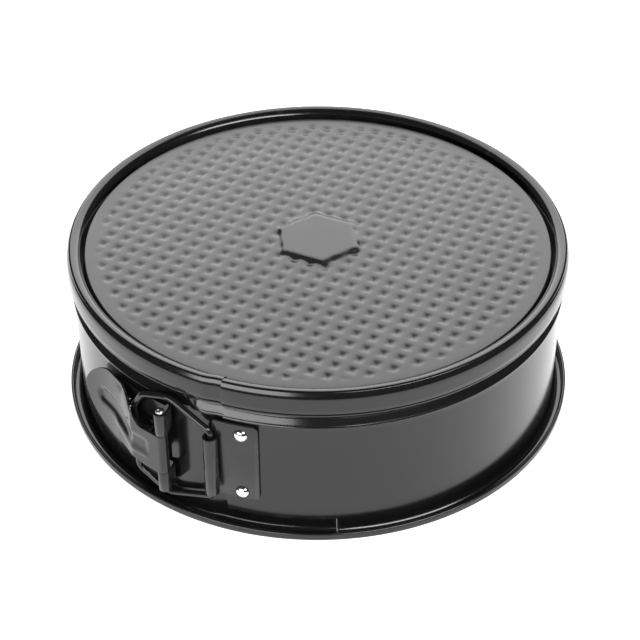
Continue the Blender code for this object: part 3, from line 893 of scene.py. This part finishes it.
def pin():
    """Steel hinge pin with a domed head above the bracket's upper arm."""
    low, high = node_box("hinge_pin")
    head_r = (high.x - low.x) / 2
    shank_r = head_r - 0.35
    head_z = high.z - 1.6
    profile = arc((0.0, head_z + 0.7), (head_r, high.z - head_z - 0.7), 90, 0, 10)
    profile[0] = (0.0, high.z)
    profile += [(head_r - 0.1, head_z), (shank_r, head_z), (shank_r, low.z + 0.3)]
    profile += arc((shank_r - 0.3, low.z + 0.3), 0.3, 0, -90, 3) + [(0.0, low.z)]
    thing = add_object("pin", mesh_from(turned(profile, 48), "pin"))
    thing.data.transform(Matrix.Translation((*(PIN * MM), 0.0)))
    settle(thing)
    finish_piece(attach(thing, "lever_side"), STEEL, ["hinge_pin"])


def rivet(node, body):
    """Domed rivet with a slightly flattened crown and a thin rim."""
    low, high = node_box(node)
    middle = (low + high) / 2
    angle = heading_of(middle)
    head_r = (high.z - low.z) / 2
    base = PLATE_R + CLASP_SHEET / 2
    tail = WALL_R - 0.3
    profile = [(0.0, base + RIVET_CROWN)]
    profile += arc((0.0, base), (head_r, RIVET_CROWN), 82, 10, 9)
    profile += arc((head_r - 0.2, base + 0.2), 0.2, 60, -90, 5)
    profile += [(RIVET_SHANK_R, base), (RIVET_SHANK_R, tail), (0.0, tail)]
    thing = add_object("piece_" + node, mesh_from(turned(profile, 48), node))
    tilt = Matrix.Rotation(math.radians(90.0), 4, "Y")
    turn = Matrix.Rotation(math.radians(angle), 4, "Z")
    thing.data.transform(Matrix.Translation((0.0, 0.0, middle.z * MM)) @ turn @ tilt)
    settle(thing)
    finish_piece(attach(thing, body), STEEL, [node])


# ---------------------------------------------------------------- studio

def floor():
    """Wide pale floor."""
    bm = bmesh.new()
    bmesh.ops.create_grid(bm, x_segments=8, y_segments=8, size=30000.0)
    thing = add_object("floor", mesh_from(bm, "floor"))
    n = Nodes("floor_paper")
    tone = n.noise(3.0)
    colour = n.mix_colour(tone, (0.86, 0.86, 0.86), (0.88, 0.88, 0.88))
    n.to_shader(Base_Color=colour, Roughness=0.9, Emission_Strength=0.8)
    n.shader.inputs["Emission Color"].default_value = WHITE
    thing.data.materials.append(n.material)
    thing.location.z = -0.0002


def softbox(name, azimuth, elevation, distance, size, radiance):
    """Soft rectangular light seen from the pan at an azimuth and elevation, in degrees.

    Its distance and size are in metres.
    """
    target = Vector((0.0, 0.0, TOP_Z * MM / 2))
    level = math.cos(math.radians(elevation))
    way = Vector((*(unit(azimuth) * level), math.sin(math.radians(elevation))))
    light = bpy.data.lights.new(name, "AREA")
    light.shape = "RECTANGLE"
    light.size, light.size_y = size
    light.energy = radiance * math.pi * size[0] * size[1]
    lamp = bpy.data.objects.new(name, light)
    lamp.location = target + way * distance
    lamp.rotation_euler = way.to_track_quat("Z", "Y").to_euler()
    lamp.visible_camera = False
    bpy.context.scene.collection.objects.link(lamp)


def plain_colour(name, strength):
    """Evenly glowing card material."""
    n = Nodes(name)
    n.to_shader(Roughness=1.0, Emission_Strength=strength, Specular_IOR_Level=0.0)
    n.shader.inputs["Base Color"].default_value = BLACK
    n.shader.inputs["Emission Color"].default_value = WHITE
    return n.material


def dark_card():
    """Black surround on the floor round the pan, seen only in reflections."""
    ring = turned([(CARD_HOLE_R, 0.0), (4000.0, 0.0)], 96)
    thing = add_object("dark_card", mesh_from(ring, "dark_card"))
    thing.data.materials.append(plain_colour("card_black", 0.0))
    thing.location = (0.0, CARD_SHIFT_Y * MM, 0.001)
    thing.visible_camera = False
    thing.visible_shadow = False


def backdrop():
    """White surround far behind the floor, seen only by the camera."""
    bm = bmesh.new()
    bmesh.ops.create_uvsphere(bm, u_segments=48, v_segments=24, radius=28000.0)
    thing = add_object("backdrop", mesh_from(bm, "backdrop"))
    thing.data.materials.append(plain_colour("backdrop_white", 1.0))
    for ray in ("diffuse", "glossy", "transmission", "volume_scatter", "shadow"):
        setattr(thing, "visible_" + ray, False)


def studio():
    """Floor, surrounds, one light behind the pan and two in front."""
    floor()
    dark_card()
    backdrop()
    softbox("back_softbox", 90.0, 38.0, 0.65, (0.8, 0.75), 3.6)
    softbox("left_front_softbox", -121.0, 13.0, 1.3, (0.95, 0.5), 7.0)
    softbox("right_front_softbox", -52.0, 39.0, 1.3, (1.0, 0.3), 15.0)
    world = bpy.data.worlds.new("studio")
    bpy.context.scene.world = world
    world.use_nodes = True
    background = world.node_tree.nodes["Background"]
    background.inputs["Color"].default_value = WHITE
    background.inputs["Strength"].default_value = 0.08
    bpy.context.scene.view_settings.view_transform = "Standard"


def camera():
    """Camera in front of the pan, looking down at it from about 35 degrees."""
    elevation = math.radians(CAMERA_ELEVATION)
    roll = math.radians(CAMERA_ROLL)
    forward = Vector((0.0, math.cos(elevation), -math.sin(elevation)))
    up = Vector((0.0, math.sin(elevation), math.cos(elevation)))
    place = (Vector((0.0, 0.0, TOP_Z - CAMERA_DROP)) - CAMERA_DISTANCE * forward) * MM
    aim = (forward + CAMERA_AIM[0] * Vector((1.0, 0.0, 0.0)) + CAMERA_AIM[1] * up).normalized()
    right = aim.cross(up).normalized()
    over = right.cross(aim)
    side = math.cos(roll) * right + math.sin(roll) * over
    top = -math.sin(roll) * right + math.cos(roll) * over
    data = bpy.data.cameras.new("camera")
    data.sensor_width = 36.0
    data.lens = CAMERA_LENS
    data.clip_start = 0.01
    turn = Matrix((side, top, -aim)).transposed().to_4x4()
    lens = add_object("camera", data)
    lens.matrix_world = Matrix.Translation(place) @ turn
    bpy.context.scene.camera = lens


camera()
ring_band()
base_plate()
bail_plate()
lever_plate()
lever_arm()
wire_loop()
pin()
for half in ("bail", "lever"):
    for end in ("top", "bottom"):
        rivet(f"{half}_rivet_{end}", half + "_side")
studio()
